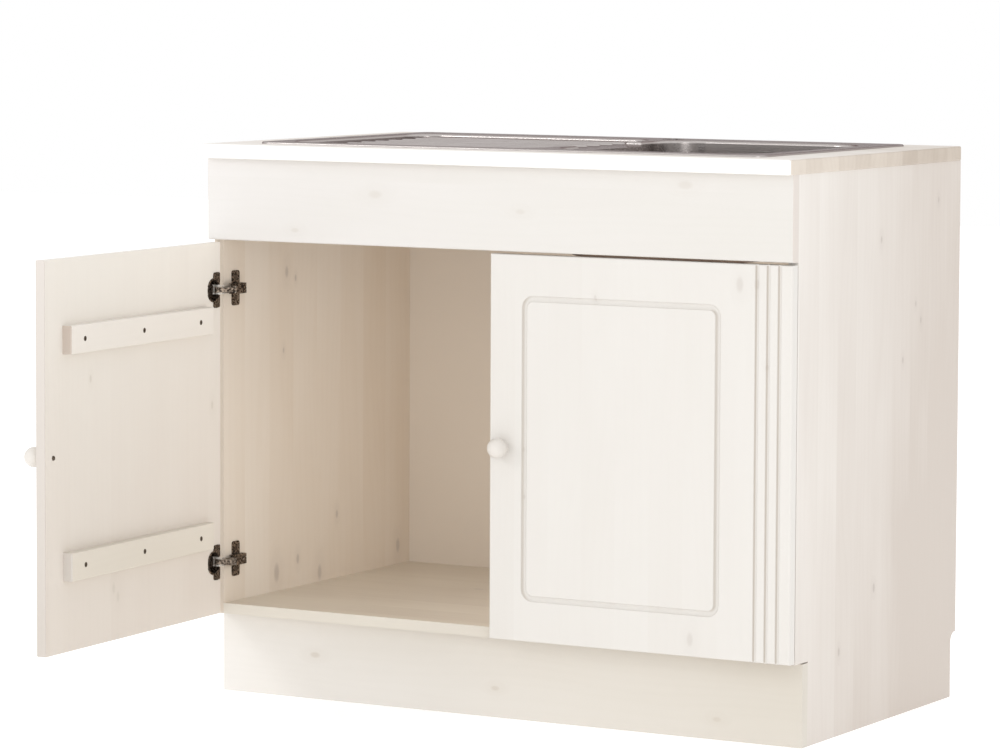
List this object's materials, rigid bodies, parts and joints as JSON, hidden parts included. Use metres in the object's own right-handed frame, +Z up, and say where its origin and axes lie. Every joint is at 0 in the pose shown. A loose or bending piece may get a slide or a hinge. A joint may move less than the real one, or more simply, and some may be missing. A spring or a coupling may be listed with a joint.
{
  "type": "sink base cabinet",
  "caption": "Pine sink base cabinet with two framed-groove doors on concealed hinges, plinth, fascia, worktop and an inset steel sink with drainer, bowl and basket waste.",
  "frame": {"origin": "on the floor, in the middle of the plinth board's front face", "axes": "+X to the right seen from the front, +Y towards the wall, +Z up"},
  "size_m": [1.002, 1.0739, 0.853],
  "materials": {
    "glazed_pine": "white glaze over solid pine, satin",
    "glazed_worktop": "white glaze over solid pine, satin",
    "turned_knob": "white paint, satin",
    "beech_dowel": "bare",
    "white_back_board": "painted fibreboard, matt",
    "stainless_sink": "brushed",
    "stainless_waste": "polished",
    "grey_rubber": "matt",
    "plastic_nut": "matt",
    "zinc_clip": "zinc plated",
    "yellow_zinc_screw": "yellow zinc plated",
    "bronze_hinge": "antique bronze plating",
    "nickel_link": "nickel plated"
  },
  "bodies": {
    "cabinet": {"side_panel_left": "glazed_pine", "side_panel_right": "glazed_pine", "bottom_panel": "glazed_pine", "front_rail": "glazed_pine", "rear_rail": "glazed_pine", "fascia_board": "glazed_pine", "plinth_board": "glazed_pine", "plinth_glue_blocks": "glazed_pine", "worktop": "glazed_worktop", "carcass_dowels": "beech_dowel", "back_panel": "white_back_board", "sink": "stainless_sink", "strainer_body": "stainless_waste", "sink_seal": "grey_rubber", "strainer_washer": "grey_rubber", "strainer_back_nut": "plastic_nut", "sink_clips": "zinc_clip", "sink_clip_screws": "zinc_clip", "worktop_brackets": "zinc_clip", "worktop_bracket_screws": "zinc_clip", "fascia_screws": "yellow_zinc_screw", "hinge_arm_upper_left": "bronze_hinge", "hinge_arm_lower_left": "bronze_hinge", "hinge_arm_upper_right": "bronze_hinge", "hinge_arm_lower_right": "bronze_hinge", "hinge_plate_upper_left": "bronze_hinge", "hinge_plate_lower_left": "bronze_hinge", "hinge_plate_upper_right": "bronze_hinge", "hinge_plate_lower_right": "bronze_hinge", "hinge_plate_screws": "bronze_hinge", "hinge_arm_screws": "bronze_hinge", "hinge_arm_pins": "nickel_link"},
    "door_left": {"door_panel_left": "glazed_pine", "batten_upper_left": "glazed_pine", "batten_lower_left": "glazed_pine", "batten_screws_left": "yellow_zinc_screw", "knob_left": "turned_knob", "knob_screw_left": "yellow_zinc_screw", "hinge_cup_upper_left": "bronze_hinge", "hinge_cup_lower_left": "bronze_hinge", "hinge_cup_pins_left": "nickel_link", "hinge_cup_screws_left": "bronze_hinge"},
    "door_right": {"door_panel_right": "glazed_pine", "batten_upper_right": "glazed_pine", "batten_lower_right": "glazed_pine", "batten_screws_right": "yellow_zinc_screw", "knob_right": "turned_knob", "knob_screw_right": "yellow_zinc_screw", "hinge_cup_upper_right": "bronze_hinge", "hinge_cup_lower_right": "bronze_hinge", "hinge_cup_pins_right": "nickel_link", "hinge_cup_screws_right": "bronze_hinge"},
    "outer_links_left": {"hinge_outer_links_left": "nickel_link"},
    "outer_links_right": {"hinge_outer_links_right": "nickel_link"},
    "inner_links_left": {"hinge_inner_links_left": "nickel_link", "hinge_link_pins_left": "nickel_link"},
    "inner_links_right": {"hinge_inner_links_right": "nickel_link", "hinge_link_pins_right": "nickel_link"},
    "strainer_basket": {"strainer_basket": "stainless_waste"}
  },
  "joints": [
    {"name": "left_outer_links_turn", "type": "hinge", "parent": "cabinet", "child": "outer_links_left", "pos_m": [-0.46, -0.0236, 0.4155], "axis": [0, 0, 1], "range_deg": [-32.05, 2.95]},
    {"name": "left_door_turn", "type": "hinge", "parent": "outer_links_left", "child": "door_left", "pos_m": [-0.48184, -0.04412, 0.4155], "axis": [0, 0, -1], "range_deg": [-119.06, 10.96]},
    {"name": "left_inner_links_turn", "type": "hinge", "parent": "cabinet", "child": "inner_links_left", "pos_m": [-0.4743, -0.0358, 0.4155], "axis": [0, 0, 1], "range_deg": [-47.63, 4.39]},
    {"name": "right_outer_links_turn", "type": "hinge", "parent": "cabinet", "child": "outer_links_right", "pos_m": [0.46, -0.0236, 0.4155], "axis": [0, 0, -1], "range_deg": [0, 35]},
    {"name": "right_door_turn", "type": "hinge", "parent": "outer_links_right", "child": "door_right", "pos_m": [0.4894, -0.0294, 0.4155], "axis": [0, 0, 1], "range_deg": [-0.01, 130.01]},
    {"name": "right_inner_links_turn", "type": "hinge", "parent": "cabinet", "child": "inner_links_right", "pos_m": [0.4743, -0.0358, 0.4155], "axis": [0, 0, -1], "range_deg": [-0.01, 52.01]},
    {"name": "basket_lift", "type": "slide", "parent": "cabinet", "child": "strainer_basket", "axis": [0, 0, 1], "range_m": [0, 0.06]}
  ],
  "couplings": [
    {"joint": "left_door_turn", "follows": "left_outer_links_turn", "ratio": 3.7143},
    {"joint": "left_inner_links_turn", "follows": "left_outer_links_turn", "ratio": 1.4857},
    {"joint": "right_door_turn", "follows": "right_outer_links_turn", "ratio": 3.7143},
    {"joint": "right_inner_links_turn", "follows": "right_outer_links_turn", "ratio": 1.4857}
  ]
}
